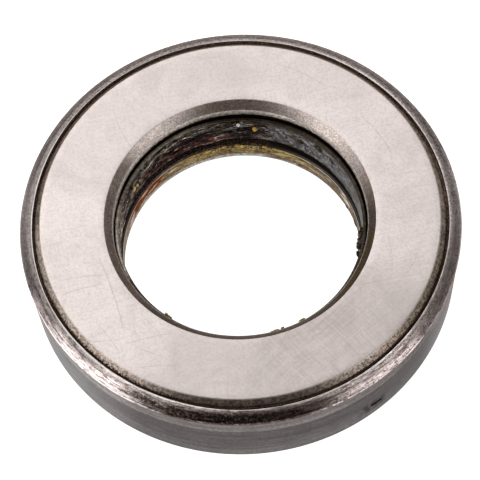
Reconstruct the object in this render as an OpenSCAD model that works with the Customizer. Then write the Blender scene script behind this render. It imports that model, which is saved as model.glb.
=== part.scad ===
// Banded thrust ball bearing: two grooved races, a caged ring of balls and a rolled steel shell.
// Origin at the centre of the base face, +Z towards the thrust face, millimetres.

/* [Overall] */
// Height from the base face to the thrust face
total_h = 19.05; // [18.8:0.05:19.3]
// Thickness of each race
race_h = 6.35; // [6.2:0.05:6.5]

/* [Balls] */
// Diameter of a ball
ball_d = 9.525; // [9.3:0.025:9.6]
// Number of balls
ball_count = 18; // [8:1:18]
// Radius of the circle that the ball centres lie on
pitch_r = 31.75; // [31.5:0.05:32]
// Clearance between a ball and the bottom of each groove
ball_clearance = 0.01; // [0.01:0.005:0.05]
// Groove radius as a share of the ball diameter
groove_share = 0.52; // [0.51:0.005:0.54]

/* [Upper race] */
// Bore radius
upper_bore_r = 23.8125; // [23.7:0.0125:24.2]
// Width and depth of the chamfer between the bore and the thrust face
upper_bore_chamfer = 1.5; // [0.5:0.1:2]
// Outer radius of the flat thrust face
face_r = 37.3; // [36:0.1:37.6]
// Radius of the shoulder that stands inside the rolled lip
shoulder_r = 38.4; // [38:0.05:38.5]
// Radius of the flange that the lip holds down
flange_r = 39.45; // [39.2:0.05:39.6]
// Height of the flange above the underside of the race
flange_h = 3.8; // [3:0.1:3.9]

/* [Lower race] */
// Bore radius, which seats on the carrier
lower_bore_r = 22.62; // [22.4:0.01:22.7]
// Outer radius, which seats in the shell
lower_r = 38.8; // [38.6:0.05:38.9]
// Chamfer between the bore and the top
lower_top_chamfer = 0.3; // [0.2:0.1:1.8]
// Chamfer between the bore and the base, which clears the fillet of the carrier
lower_base_chamfer = 2; // [0.5:0.1:3]
// Chamfer at the outside of the base, where the shell curls in
seat_chamfer = 1.3; // [1.2:0.1:1.4]

/* [Shell] */
// Radius of the inner edge of the rolled lip
lip_edge_r = 38.96; // [38.9:0.01:39.1]
// Largest radius, at the bulge of the lip
bulge_r = 41.275; // [41.2:0.025:41.4]
// Height of the bulge above the base
bulge_z = 16.5; // [16.4:0.05:16.6]
// Radius of the rounding at the bulge
bulge_round = 0.6; // [0.55:0.05:0.7]
// Radius of the gentle crown between the bulge and the inner edge
crown_r = 6.1; // [6:0.1:6.4]
// Radius of the neck under the bulge
neck_r = 40.62; // [40.6:0.01:40.7]
// Radius of the ledge where the wall starts
ledge_r = 40.92; // [40.8:0.02:41]
// Height of the ledge above the base
ledge_z = 12.45; // [12.2:0.05:12.8]
// Wall radius just above the lower corner
wall_r = 40.3; // [40.2:0.05:40.5]
// Radius of the lower corner
corner_r = 1.6; // [1.4:0.1:1.8]
// Inner radius around the flange of the upper race
shell_inner_r = 39.75; // [39.7:0.05:39.8]

/* [Cage] */
// Thickness of the sheet
sheet = 0.7; // [0.5:0.05:0.8]
// Inner radius of the upright rim
rim_r = 22.88; // [22.8:0.02:22.95]
// Height of the top of the rim above the base
rim_top_z = 15.5; // [15:0.05:16.2]
// Height of the foot of the rim above the base
rim_foot_z = 8.05; // [7.8:0.05:8.4]
// Radius of the outside of the down-turned outer edge
cage_r = 37.9; // [37.8:0.05:38.2]
// Clearance between a ball and its pocket
pocket_clearance = 0.1; // [0.05:0.05:0.15]

/* [Hidden] */
ring_names = ["upper_race", "lower_race", "outer_shell", "cage"];

mid_z = total_h / 2;
ball_r = ball_d / 2;
groove_r = groove_share * ball_d;
groove_offset = groove_r - ball_r - ball_clearance;
upper_base_z = total_h - race_h;
flange_z = upper_base_z + flange_h;
shoulder_chamfer = shoulder_r - face_r;
small_chamfer = 0.5;
$fn = 180;

function ball_name(i) = str("ball_", i < 10 ? "0" : "", i);

// Points on an arc about a centre, from one angle to another
function arc(centre, r, from, to, steps = 6) =
    [for (i = [0:steps]) let (a = from + (to - from) * i / steps) centre + r * [cos(a), sin(a)]];

// A ball groove as seen in the half section, with its centre moved off the plane of the ball centres
module groove_section(z) {
    translate([pitch_r, z]) circle(r = groove_r);
}

module upper_race() {
    color("gainsboro") rotate_extrude() difference() {
        polygon([
            [upper_bore_r + small_chamfer, upper_base_z],
            [flange_r - small_chamfer, upper_base_z],
            [flange_r, upper_base_z + small_chamfer],
            [flange_r, flange_z],
            [shoulder_r, flange_z],
            [shoulder_r, total_h - shoulder_chamfer],
            [face_r, total_h],
            [upper_bore_r + upper_bore_chamfer, total_h],
            [upper_bore_r, total_h - upper_bore_chamfer],
            [upper_bore_r, upper_base_z + small_chamfer],
        ]);
        groove_section(mid_z - groove_offset);
    }
}

module lower_race() {
    color("darkgray") rotate_extrude() difference() {
        polygon([
            [lower_bore_r + lower_base_chamfer, 0],
            [lower_r - seat_chamfer, 0],
            [lower_r, seat_chamfer],
            [lower_r, race_h - small_chamfer],
            [lower_r - small_chamfer, race_h],
            [lower_bore_r + lower_top_chamfer, race_h],
            [lower_bore_r, race_h - lower_top_chamfer],
            [lower_bore_r, lower_base_chamfer],
        ]);
        groove_section(mid_z + groove_offset);
    }
}

// The outside of the shell runs up the wall, over the ledge and neck, and around the rolled lip
module outer_shell() {
    counterbore_z = 11.8;
    curl_tip = 0.5;
    crown_start = 48;
    crown_end = 70;
    corner = [wall_r - corner_r, corner_r];
    bulge = [bulge_r - bulge_round, bulge_z];
    crown = bulge - (crown_r - bulge_round) * [cos(crown_start), sin(crown_start)];
    lip_edge_z = crown.y + crown_r * sin(crown_end);
    lip_under_z = flange_z + 0.2;
    color("dimgray") rotate_extrude() polygon(concat(
        [[lower_r - seat_chamfer + curl_tip, curl_tip], [lower_r - curl_tip, 0]],
        arc(corner, corner_r, -90, 0),
        [[ledge_r, ledge_z], [neck_r + 0.12, ledge_z + 1.2], [neck_r, ledge_z + 2.2]],
        [[neck_r, bulge_z - 1.1]],
        arc(bulge, bulge_round, -60, crown_start, 8),
        arc(crown, crown_r, crown_start + 4, crown_end, 4),
        [[lip_edge_r, lip_edge_z - 0.12], [lip_edge_r, lip_under_z], [shell_inner_r, lip_under_z]],
        [[shell_inner_r, counterbore_z], [lower_r, race_h + small_chamfer], [lower_r, seat_chamfer]]
    ));
}

// A sheet pressed to a Z section: the rim stands in the bore of the upper race, and a dished web
// carries the pockets at the height of the ball centres
module cage() {
    web_z = mid_z - sheet / 2;
    foot_r = rim_r + 1.8;
    dish_r = foot_r + 1.4;
    skirt_z = web_z - 1.6;
    bend = 0.35;
    color("slategray") difference() {
        rotate_extrude() polygon([
            [rim_r + bend, rim_foot_z],
            [foot_r, rim_foot_z],
            [dish_r, web_z],
            [cage_r - sheet, web_z],
            [cage_r - sheet, skirt_z],
            [cage_r, skirt_z],
            [cage_r, web_z + sheet - bend],
            [cage_r - bend, web_z + sheet],
            [dish_r - 0.25, web_z + sheet],
            [foot_r - 0.25, rim_foot_z + sheet],
            [rim_r + sheet, rim_foot_z + sheet],
            [rim_r + sheet, rim_top_z - sheet / 4],
            [rim_r + sheet * 3 / 4, rim_top_z],
            [rim_r + sheet / 4, rim_top_z],
            [rim_r, rim_top_z - sheet / 4],
            [rim_r, rim_foot_z + bend],
        ]);
        for (i = [1:ball_count])
            at_ball(i) cylinder(r = ball_r + pocket_clearance, h = 3 * sheet, center = true);
    }
}

module at_ball(i) {
    a = (i - 1) * 360 / ball_count;
    translate([pitch_r * cos(a), pitch_r * sin(a), mid_z]) children();
}

module ball(i) {
    color("silver") at_ball(i) sphere(r = ball_r);
}

upper_race();
lower_race();
outer_shell();
cage();
for (i = [1:ball_count])
    ball(i);
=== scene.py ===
"""Banded thrust ball bearing: finely finished rings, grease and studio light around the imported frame."""
from math import asin, atan2, ceil, cos, degrees as to_degrees, exp, hypot, pi, radians, sin, tan

import bmesh
import bpy
import numpy as np
from mathutils import Matrix, Vector, noise


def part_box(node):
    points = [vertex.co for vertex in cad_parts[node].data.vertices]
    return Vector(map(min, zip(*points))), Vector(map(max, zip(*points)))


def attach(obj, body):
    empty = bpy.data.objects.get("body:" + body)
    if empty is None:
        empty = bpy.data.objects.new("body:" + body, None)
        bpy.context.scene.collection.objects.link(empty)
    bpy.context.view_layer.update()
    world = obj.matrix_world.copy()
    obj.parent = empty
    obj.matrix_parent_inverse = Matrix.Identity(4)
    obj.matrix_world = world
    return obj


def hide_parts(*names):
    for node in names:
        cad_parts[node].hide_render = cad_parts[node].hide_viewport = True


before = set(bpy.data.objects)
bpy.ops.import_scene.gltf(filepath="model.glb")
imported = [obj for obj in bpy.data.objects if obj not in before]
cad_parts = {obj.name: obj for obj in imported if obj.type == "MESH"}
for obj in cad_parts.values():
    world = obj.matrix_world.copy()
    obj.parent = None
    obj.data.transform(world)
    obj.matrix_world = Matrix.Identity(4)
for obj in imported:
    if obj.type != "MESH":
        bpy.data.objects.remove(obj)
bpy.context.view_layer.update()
MM = 0.001
TAU = 2 * pi

# ---------------- sizes, in millimetres, from the frame

race_low, race_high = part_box("upper_race")
base_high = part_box("lower_race")[1]
shell_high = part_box("outer_shell")[1]
cage_low, cage_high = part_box("cage")
FACE_Z = race_high.z / MM
FLANGE_R = race_high.x / MM
UPPER_BASE_Z = race_low.z / MM
LOWER_R = base_high.x / MM
LOWER_TOP_Z = base_high.z / MM
BULGE_R = shell_high.x / MM
CAGE_R = cage_high.x / MM
RIM_TOP_Z = cage_high.z / MM

# From part.scad, which this script can't read
FACE_R = 37.3
SHOULDER_R = 38.4
FLANGE_Z = UPPER_BASE_Z + 3.8
UPPER_BORE_R = 23.8125
UPPER_BORE_CHAMFER = 1.5
LOWER_BORE_R = 22.62
LOWER_TOP_CHAMFER = 0.3
LOWER_BASE_CHAMFER = 2
SMALL_CHAMFER = 0.5
SEAT_CHAMFER = 1.3
BALL_R = 4.7625
BALL_COUNT = 18
BALL_CLEARANCE = 0.01
POCKET_R = BALL_R + 0.1
PITCH_R = 31.75
MID_Z = FACE_Z / 2
GROOVE_R = 4.953
LIP_EDGE_R = 38.96
BULGE_Z = 16.5
BULGE_ROUND = 0.6
NECK_R = 40.62
LEDGE_R = 40.92
LEDGE_Z = 12.45
WALL_R = 40.3
CORNER_R = 1.6
SHELL_INNER_R = 39.75
COUNTERBORE_Z = 11.8
SHEET = 0.7
RIM_R = 22.88
RIM_FOOT_Z = 8.05

# The crown of the visual model's lip is flatter than the CAD's, because its reflections fit better
CROWN_R = 9
# Steps around the axis
RACE_SEGMENTS = 720
SHELL_SEGMENTS = 960
CAGE_SEGMENTS = 540
# Rounding of the machined edges, and the longest stretch of an outline between two rows of points
EDGE_ROUND = 0.1
RACE_STEP = 1.2
WALL_STEP = 1.0
LIP_STEP = 0.36
NICK_STEP = 0.23
# Width and height of the squares that a film of grease is made of
FILM_STEP = 0.14

# Places below are degrees around the axis. A chisel nick in the wall:
NICK_DEG = 303.4
NICK_HALF_DEG = 1.6
NICK_Z = 5.7
NICK_HALF_Z = 0.8
# Where the inner edge of the lip leans further in, as (degrees, spread in degrees, millimetres)
LIP_LEANS = [(228, 18, 0.34), (45, 22, 0.14), (250, 10, 0.10), (170, 26, 0.12)]
# Burrs on the lip, as (degrees, radius, height)
BURRS = [(208.7, 41.0, 0.10), (213, 41.0, 0.06), (220.7, 41.05, 0.12), (228, 40.9, 0.06),
         (321.7, 39.05, 0.09)]
# Crumbs of grease, as (degrees, height above the base, (half sizes along the turn, inward, up))
RIM_LUMPS = [(229.3, 15.75, (0.30, 0.20, 0.50)), (231.0, 15.6, (0.6, 0.18, 0.28)),
             (282.0, 15.65, (0.9, 0.13, 0.26)), (285.6, 15.8, (0.28, 0.13, 0.42)),
             (295.4, 15.7, (0.7, 0.14, 0.34))]
GOLD_LUMPS = [(79.1, 13.1, (0.42, 0.40, 0.46)), (150.8, 13.3, (0.35, 0.2, 0.6)),
              (147.8, 12.9, (0.3, 0.2, 0.3))]
# A white lump of grease that stands for a glint, a painted highlight: (degrees, height, half sizes)
PAINTED_GLINT_SPECK = (87.1, 14.4, (0.32, 0.32, 0.34))
BORE_LUMPS = [(86, 5.6, (0.5, 0.12, 0.2)), (100, 5.4, (0.8, 0.12, 0.2)), (92, 2.4, (0.6, 0.10, 0.15)),
              (14, 2.6, (0.9, 0.14, 0.4)), (24, 2.5, (0.6, 0.12, 0.3)), (7, 3.2, (0.8, 0.16, 0.7)),
              (75, 6.0, (0.5, 0.2, 0.22)), (88, 6.05, (0.7, 0.25, 0.22)), (95, 6.1, (0.5, 0.25, 0.25)),
              (103, 5.9, (0.6, 0.2, 0.2)), (112, 5.5, (0.5, 0.15, 0.2))]
# The long scratches on the thrust face, as (start, end, bow at the middle, half width)
FACE_SCRATCHES = [((-27.2, -4.5), (-22.5, -23.7), 0.6, 0.17), ((-23.3, -24.5), (-13.5, -22.9), 0.3, 0.11),
                  ((-21.3, -29.3), (-13.0, -29.6), 0.2, 0.11), ((-28.1, -18.9), (-23.5, -26.5), 0.2, 0.10),
                  ((-34.0, -10.4), (-25.1, -10.1), 0.4, 0.11), ((-34.1, -13.4), (-25.5, -11.7), 0.3, 0.10),
                  ((-31.2, -23.1), (-22.1, -23.1), -0.3, 0.09), ((-18.5, 15.5), (-22.5, 27.0), 0.8, 0.10),
                  ((24.0, 20.0), (30.0, 9.0), 0.7, 0.10), ((8.0, 33.0), (19.0, 26.0), 0.7, 0.10),
                  ((2.0, -36.0), (13.0, -28.0), 0.6, 0.10)]


# ---------------- camera

def place_camera():
    """A long lens looks down at the thrust face from the front, rolled a little."""
    elevation = radians(62.07)
    roll = radians(-4.63)
    distance = 548.6
    aim_low = 4.31
    aim_side = 0.03
    back = Vector((0, -cos(elevation), sin(elevation)))
    right = Vector((1, 0, 0))
    up = back.cross(right)
    rolled_right = cos(roll) * right + sin(roll) * up
    rolled_up = cos(roll) * up - sin(roll) * right
    spot = Vector((0, 0, FACE_Z)) + distance * back - aim_low * rolled_up + aim_side * rolled_right
    turn = Matrix((rolled_right, rolled_up, back)).transposed()
    data = bpy.data.cameras.new("camera")
    data.lens = 221.4
    data.sensor_width = 36
    data.clip_end = 10
    camera = add_object("camera", data)
    camera.matrix_world = Matrix.Translation(spot * MM) @ turn.to_4x4()
    bpy.context.scene.camera = camera


# ---------------- outlines and lathed rings

def smooth(value, low, high):
    """0 at low and 1 at high, with a smooth step between them. low may be the larger."""
    t = min(max((value - low) / (high - low), 0.0), 1.0)
    return t * t * (3 - 2 * t)


def arc(centre, radius, start, end, steps):
    """Points on an arc, with angles in degrees."""
    angles = np.radians(np.linspace(start, end, steps + 1))
    return [(centre[0] + radius * cos(a), centre[1] + radius * sin(a)) for a in angles]


def rounded(corners, steps=4):
    """A closed outline whose corners, each (r, z, rounding), are cut to arcs of about that radius."""
    points = []
    for i, (r, z, radius) in enumerate(corners):
        here = Vector((r, z))
        before = Vector(corners[i - 1][:2]) - here
        after = Vector(corners[(i + 1) % len(corners)][:2]) - here
        if radius <= 0:
            points.append((r, z))
            continue
        reach = min(radius, before.length * 0.45, after.length * 0.45)
        first = here + before.normalized() * reach
        last = here + after.normalized() * reach
        for k in range(steps + 1):
            t = k / steps
            p = (1 - t) ** 2 * first + 2 * t * (1 - t) * here + t ** 2 * last
            points.append((p.x, p.y))
    return points


def spaced(points, step, closed=True):
    """The outline with its long stretches cut to pieces no longer than step."""
    ends = points[1:] + points[:1] if closed else points[1:]
    out = []
    for (r0, z0), (r1, z1) in zip(points, ends):
        n = max(1, ceil(hypot(r1 - r0, z1 - z0) / step))
        out += [(r0 + (r1 - r0) * k / n, z0 + (z1 - z0) * k / n) for k in range(n)]
    return out if closed else out + points[-1:]


def add_object(name, data):
    """A new object in the scene."""
    item = bpy.data.objects.new(name, data)
    bpy.context.scene.collection.objects.link(item)
    return item


def mesh_object(name, points, faces, body, slot, materials, choose=None, sharp_deg=35):
    """A mesh in millimetres made into a piece that rides on a body. choose gives each face's material."""
    mesh = bpy.data.meshes.new(name)
    mesh.from_pydata((np.asarray(points) * MM).tolist(), [], faces)
    for material in materials:
        mesh.materials.append(material)
    mesh.polygons.foreach_set("use_smooth", [True] * len(mesh.polygons))
    if choose:
        middles = np.zeros(len(mesh.polygons) * 3)
        mesh.polygons.foreach_get("center", middles)
        mesh.polygons.foreach_set("material_index", [choose(*p) for p in middles.reshape(-1, 3) / MM])
    mesh.set_sharp_from_angle(angle=radians(sharp_deg))
    piece = add_object(name, mesh)
    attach(piece, body)
    return piece


def lathe_points(outline, segments=RACE_SEGMENTS):
    """The points and faces of a closed outline turned about the bearing's axis."""
    ring = np.array(outline)
    turn = np.arange(segments) * TAU / segments
    r = ring[:, 0]
    z = ring[:, 1]
    x = np.outer(np.cos(turn), r)
    y = np.outer(np.sin(turn), r)
    points = np.stack([x, y, np.tile(z, (segments, 1))], axis=-1).reshape(-1, 3)
    n = len(ring)
    faces = []
    for s in range(segments):
        a = s * n
        b = (s + 1) % segments * n
        faces += [(a + k, b + k, b + (k + 1) % n, a + (k + 1) % n) for k in range(n)]
    return points, faces


# ---------------- material nodes

class Nodes:
    """Short names for the shader nodes of one node tree."""

    def __init__(self, tree):
        self.tree = tree

    def put(self, socket, value):
        if isinstance(value, bpy.types.NodeSocket):
            self.tree.links.new(value, socket)
        elif isinstance(value, tuple) and socket.type == "RGBA" and len(value) == 3:
            socket.default_value = (*value, 1)
        else:
            socket.default_value = value

    def fill(self, kind, values, **settings):
        """A new node with its settings made and its first inputs filled in order."""
        node = self.tree.nodes.new(kind)
        for name, value in settings.items():
            setattr(node, name, value)
        for socket, value in zip(node.inputs, values):
            self.put(socket, value)
        return node

    def vector(self, operation, a, b=None, scale=None):
        node = self.fill("ShaderNodeVectorMath", (a,) if b is None else (a, b), operation=operation)
        if scale is not None:
            self.put(node.inputs["Scale"], scale)
        return node.outputs["Value" if operation in ("LENGTH", "DOT_PRODUCT", "DISTANCE") else "Vector"]

    def math(self, operation, a, b=0.0):
        return self.fill("ShaderNodeMath", (a, b), operation=operation).outputs[0]

    def minus(self, a, b):
        return self.math("SUBTRACT", a, b)

    def gather(self, operation, values):
        total = values[0]
        for value in values[1:]:
            total = self.math(operation, total, value)
        return total

    def add(self, *values):
        return self.gather("ADD", values)

    def times(self, *values):
        return self.gather("MULTIPLY", values)

    def most(self, *values):
        return self.gather("MAXIMUM", values)

    def fade(self, value, low, high, to_low=0.0, to_high=1.0):
        """Smoothly from to_low where value is low to to_high where it is high."""
        values = (value, low, high, to_low, to_high)
        return self.fill("ShaderNodeMapRange", values, interpolation_type="SMOOTHSTEP").outputs[0]


class Graph(Nodes):
    """The nodes of one steel or grease. Lengths are millimetres, and colour is the colour so far."""

    def __init__(self, name):
        self.material = bpy.data.materials.new(name)
        self.material.use_nodes = True
        super().__init__(self.material.node_tree)
        self.shader = self.tree.nodes["Principled BSDF"]
        self.colour = None
        coords = self.tree.nodes.new("ShaderNodeTexCoord").outputs["Object"]
        self.place = self.vector("SCALE", coords, scale=1 / MM)
        self.z = self.fill("ShaderNodeSeparateXYZ", (self.place,)).outputs["Z"]
        flat = self.vector("MULTIPLY", self.place, (1, 1, 0))
        self.radius = self.vector("LENGTH", flat)
        self.outward = self.vector("NORMALIZE", flat)

    def scaled(self, zone, factor):
        """A factor for shade and tone: factor where zone is 1, and 1 where it is 0."""
        return self.fade(zone, 0, 1, 1.0, factor)

    def paint(self, tint, *shares):
        """Covers the colour with a tint, as strongly as the product of the shares."""
        self.colour = self.mix(self.times(*shares), self.colour, tint)

    def tone(self, *factors):
        """Makes the colour lighter or darker by one or more factors."""
        self.colour = self.shade(self.colour, *factors)

    def band(self, value, middle, half, soft):
        """1 within half of middle, fading to 0 over soft."""
        off = self.math("ABSOLUTE", self.minus(value, middle))
        return self.fade(off, half, half + soft, 1.0, 0.0)

    def join(self, x, y, z):
        return self.fill("ShaderNodeCombineXYZ", (x, y, z)).outputs[0]

    def noise(self, where, scale, detail=3.0, rough=0.55, distortion=0.0):
        node = self.tree.nodes.new("ShaderNodeTexNoise")
        values = {"Vector": where, "Scale": scale, "Detail": detail, "Roughness": rough,
                  "Distortion": distortion}
        for key, value in values.items():
            self.put(node.inputs[key], value)
        return node.outputs["Fac"]

    def mix(self, share, a, b, blend="MIX"):
        node = self.fill("ShaderNodeMix", (share,), data_type="RGBA", blend_type=blend)
        self.put(node.inputs[6], a)
        self.put(node.inputs[7], b)
        return node.outputs[2]

    def shade(self, colour, *factors):
        """The colour made lighter or darker by one or more factors."""
        return self.vector("SCALE", colour, scale=self.times(*factors))

    def vary(self, base, noise, extra):
        """base, and up to extra more where the noise is high."""
        return self.add(base, self.fade(noise, 0.35, 0.65, 0.0, extra))

    def mottle(self, scale, low, high):
        """Fine noise as a factor, from low to high."""
        return self.fade(self.grain(scale, 4.0, 0.65), 0.4, 0.6, low, high)

    def bump(self, height, depth_mm, normal=None):
        """Height, from 0 to 1, as a surface depth in millimetres."""
        node = self.tree.nodes.new("ShaderNodeBump")
        self.put(node.inputs["Height"], height)
        node.inputs["Distance"].default_value = depth_mm * MM
        if normal is not None:
            self.put(node.inputs["Normal"], normal)
        return node.outputs[0]

    def around(self, turn_scale, across):
        """A place for noise that runs in streaks around the axis: slow along the turn, fast across it."""
        turned = self.vector("SCALE", self.outward, scale=turn_scale)
        return self.vector("ADD", turned, self.join(0.0, 0.0, across))

    def streaks(self, turn_scale, scale, detail, rough, distortion=0.0, across=None):
        """Noise in streaks around the axis, with its scale across them, which is up unless it is given."""
        where = self.around(turn_scale, self.times(self.z if across is None else across, scale))
        return self.noise(where, 1.0, detail, rough, distortion)

    def grain(self, scale, detail=3.0, rough=0.55, distortion=0.0):
        """Noise that is the same size in every direction."""
        return self.noise(self.place, scale, detail, rough, distortion)

    def lines(self, angle_deg, fine, long=0.05, detail=2.0, wave=0.0):
        """Noise drawn out into straight lines across the face, at an angle to the X axis."""
        a = radians(angle_deg)
        along = self.vector("DOT_PRODUCT", self.place, (cos(a), sin(a), 0))
        across = self.vector("DOT_PRODUCT", self.place, (-sin(a), cos(a), 0))
        if wave:
            across = self.add(across, self.times(self.grain(0.06, 1.0), wave))
        where = self.join(self.times(along, long), self.times(across, fine), angle_deg)
        return self.noise(where, 1.0, detail, 0.6)

    def window(self, centre_deg, half_deg, soft_deg):
        """1 within half_deg of a direction around the axis, fading to 0 over soft_deg."""
        a = radians(centre_deg)
        dot = self.vector("DOT_PRODUCT", self.outward, (cos(a), sin(a), 0))
        inner = cos(radians(half_deg))
        outer = cos(radians(half_deg + soft_deg))
        return self.fade(dot, outer, inner)

    def windows(self, *spans):
        """The most of several windows, each (centre, half, soft) in degrees."""
        return self.most(*[self.window(*span) for span in spans])

    def spot(self, x, y, z, radius, soft):
        """1 within radius of a point, fading to 0 over soft."""
        return self.fade(self.vector("DISTANCE", self.place, (x, y, z)), radius, radius + soft, 1.0, 0.0)

    def scratch(self, start, end, bow, half_width):
        """A thin arc on the face between two points, bowed sideways by bow at its middle."""
        a = Vector((*start, 0))
        b = Vector((*end, 0))
        along = (b - a).normalized()
        side = Vector((-along.y, along.x, 0))
        middle = (a + b) / 2
        half = (b - a).length / 2
        place = self.vector("SUBTRACT", self.place, tuple(middle))
        t = self.vector("DOT_PRODUCT", place, tuple(along))
        s = self.vector("DOT_PRODUCT", place, tuple(side))
        share = self.times(t, 1 / half)
        curve = self.minus(bow, self.times(share, share, bow))
        off = self.math("ABSOLUTE", self.minus(s, curve))
        ends = self.fade(self.math("ABSOLUTE", share), 0.6, 1.0, 1.0, 0.0)
        return self.times(self.fade(off, half_width * 0.3, half_width, 1.0, 0.0), ends)

    def finish(self, roughness, normal=None, metallic=1.0, coat=0.0, edge=(1, 1, 1)):
        """edge is how strongly, and in which colour, metal reflects at a grazing angle."""
        values = {"Specular Tint": edge, "Base Color": self.colour, "Roughness": roughness,
                  "Metallic": metallic, "Coat Weight": coat, "Coat Roughness": 0.12}
        for key, value in values.items():
            self.put(self.shader.inputs[key], value)
        if normal is not None:
            self.put(self.shader.inputs["Normal"], normal)
        return self.material


def ground_steel():
    """The thrust face: pinkish-white steel, ground in crossing directions, mottled and scratched."""
    g = Graph("ground_steel")
    fine = g.add(g.times(g.lines(7, 3.0, 0.07, 3.0, 2.0), 0.4),
                 g.times(g.lines(96, 3.4, 0.07, 3.0, 2.0), 0.35),
                 g.times(g.lines(141, 3.2, 0.1, 2.0, 3.0), 0.25))
    hatch = g.add(g.times(g.lines(38, 2.2, 0.1, 3.0, 2.0), 0.5),
                  g.times(g.lines(128, 2.4, 0.1, 3.0, 2.0), 0.5))
    grain = g.grain(1.9, 4.0, 0.7)
    strokes = ((11, 3, 0.69), (84, 5, 0.68), (52, 6, 0.71), (118, 5, 0.7), (158, 4, 0.71))
    marks = g.most(*[g.fade(g.lines(angle, 1.6, 0.035, 1.0, wave), low, 0.8)
                     for angle, wave, low in strokes])
    long_scratches = g.most(*[g.scratch(*scratch) for scratch in FACE_SCRATCHES])
    blotch = g.grain(0.1, 5.0, 0.68, 0.8)
    spots = g.fade(g.grain(1.1, 2.0, 0.5), 0.74, 0.8)
    tint = g.mix(g.fade(blotch, 0.36, 0.66), (0.77, 0.7, 0.678), (0.725, 0.661, 0.641))
    # Painted shade: the face is darker at the front-right and a little darker at the back-left
    tint = g.shade(tint, g.scaled(g.window(286, 34, 24), 0.84), g.scaled(g.window(118, 24, 34), 0.91))
    worn = g.times(g.fade(blotch, 0.3, 0.62, 0.4, 1.0), g.spot(15, -28, FACE_Z, 4.0, 19.0))
    tint = g.mix(g.times(worn, 0.35), tint, (0.49, 0.44, 0.43))
    dark = (0.42, 0.36, 0.34)
    g.colour = g.mix(g.fade(fine, 0.58, 0.38, 0.0, 0.3), tint, dark)
    g.paint(dark, g.fade(grain, 0.56, 0.36, 0.0, 0.3))
    g.paint(dark, g.fade(hatch, 0.58, 0.4), g.add(g.times(worn, 0.55), 0.06))
    g.paint(dark, g.most(marks, g.times(spots, 0.8)), 0.32)
    g.paint(dark, long_scratches, 0.5)
    edge = g.most(g.fade(g.radius, FACE_R - 0.35, FACE_R - 0.05), g.fade(g.radius, 25.75, 25.4))
    g.paint(dark, edge, g.fade(g.grain(1.4, 3.0), 0.45, 0.65), 0.45)
    rough = g.add(0.27, g.fade(fine, 0.35, 0.65, 0.0, 0.08), g.fade(blotch, 0.3, 0.7, 0.0, 0.07))
    relief = g.add(g.times(fine, 0.8), g.times(grain, 0.4), g.times(g.most(marks, long_scratches), -0.5))
    return g.finish(rough, g.bump(relief, 0.006))


def bore_chamfer_steel():
    """Brownish grey turned steel at the bore, speckled; the paler line at its lower edge is a painted
    highlight.
    """
    g = Graph("bore_chamfer_steel")
    depth = g.minus(g.radius, UPPER_BORE_R)
    streak = g.streaks(9.0, 6.0, 3.0, 0.6)
    speck = g.grain(2.0, 4.0, 0.7)
    patch = g.grain(0.45, 4.0, 0.65)
    g.colour = g.mix(g.fade(patch, 0.36, 0.64), (0.43, 0.35, 0.312), (0.33, 0.265, 0.232))
    g.paint((0.17, 0.14, 0.125), g.fade(streak, 0.6, 0.38, 0.0, 0.3))
    g.paint((0.13, 0.097, 0.08), g.fade(speck, 0.54, 0.66, 0.0, 0.55))
    # Painted shade: the chamfer is darker and browner at the front and front-right
    front = g.windows((285, 50, 26), (335, 20, 20))
    g.paint(g.mix(g.window(255, 30, 26), (0.085, 0.067, 0.055), (0.098, 0.086, 0.079)), front, 0.86)
    # Painted light: the chamfer is lighter at the right and a little lighter at the left
    g.tone(g.scaled(g.window(2, 14, 14), 1.4), g.scaled(g.window(178, 16, 14), 1.1))
    olive = g.times(g.window(333, 12, 8), g.band(depth, 0.75, 0.15, 0.35))
    g.paint((0.15, 0.1, 0.03), olive, 0.7)
    # Painted light: the chamfer is paler at the back
    g.paint((0.52, 0.39, 0.33), g.window(90, 14, 16), 0.8)
    # Painted highlights on the chamfer at the right-back and left-back, broken up by the specks
    painted_highlight_share = g.windows((44, 20, 14), (124, 13, 12))
    g.paint((0.68, 0.6, 0.56), painted_highlight_share, g.fade(speck, 0.66, 0.5, 0.58, 0.74))
    # Painted highlight: a paler line along the rounded lower edge of the chamfer
    line = g.band(depth, 0.1, 0.03, 0.14)
    g.paint((0.6, 0.56, 0.52), line, 0.75)
    g.tone(g.mottle(3.0, 0.74, 1.26))
    rough = g.vary(0.36, speck, 0.12)
    relief = g.add(g.times(streak, 0.5), g.times(speck, 0.6))
    return g.finish(rough, g.bump(relief, 0.012), edge=(0.7, 0.62, 0.56))


def bore_steel():
    """The bore of the upper race: a clean band below the chamfer, then black with old grease."""
    g = Graph("bore_steel")
    ragged = g.streaks(40.0, 1.5, 4.0, 0.65)
    height = g.add(g.z, g.times(ragged, 1.1), -0.55, g.times(g.window(182, 16, 14), 0.9))
    clean = g.fade(height, 15.9, 16.3)
    streak = g.streaks(6.0, 9.0, 3.0, 0.6)
    steel = g.mix(g.fade(streak, 0.36, 0.64), (0.66, 0.56, 0.49), (0.88, 0.78, 0.7))
    # Painted shade: the clean band is darker at the front and at the back
    steel = g.mix(g.window(270, 60, 20), steel, (0.18, 0.15, 0.13))
    steel = g.shade(steel, g.scaled(g.window(90, 12, 12), 0.6))
    steel = g.shade(steel, g.mottle(1.5, 0.55, 1.2))
    grime = g.mix(g.fade(streak, 0.42, 0.6), (0.028, 0.02, 0.012), (0.125, 0.105, 0.075))
    g.colour = g.mix(clean, grime, steel)
    return g.finish(0.34, g.bump(ragged, 0.02), g.fade(clean, 0, 1, 0.9, 0.35), 0.0, (0.4, 0.32, 0.26))


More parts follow.
